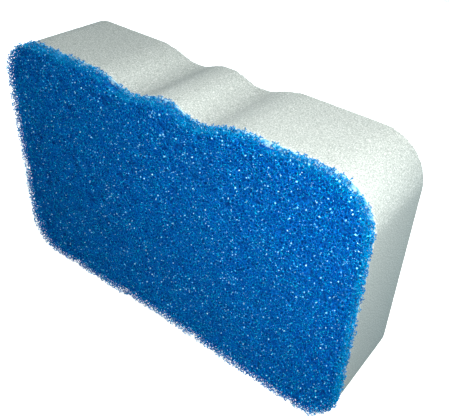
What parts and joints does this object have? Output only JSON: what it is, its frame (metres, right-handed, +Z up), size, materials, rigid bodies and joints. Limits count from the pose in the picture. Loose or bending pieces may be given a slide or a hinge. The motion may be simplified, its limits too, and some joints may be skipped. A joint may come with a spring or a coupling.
{
  "type": "sponge filter",
  "caption": "Two-layer foam block for water cleaning: a thin coarse open-cell pad bonded to a thick fine-foam block, with rounded corners and finger valleys along the top edge.",
  "frame": {"origin": "centre of the bounding box's underside, on the surface that the block stands on", "axes": "+X along the width, +Y from the coarse pad towards the rear face, +Z up towards the finger valleys"},
  "size_m": [0.2, 0.05, 0.126],
  "materials": {
    "coarse_foam": "satin",
    "bond_film": "satin",
    "fine_foam": "matte"
  },
  "bodies": {
    "root": {"coarse_foam_pad": "coarse_foam", "bond_film": "bond_film", "fine_foam_block": "fine_foam"}
  },
  "joints": []
}
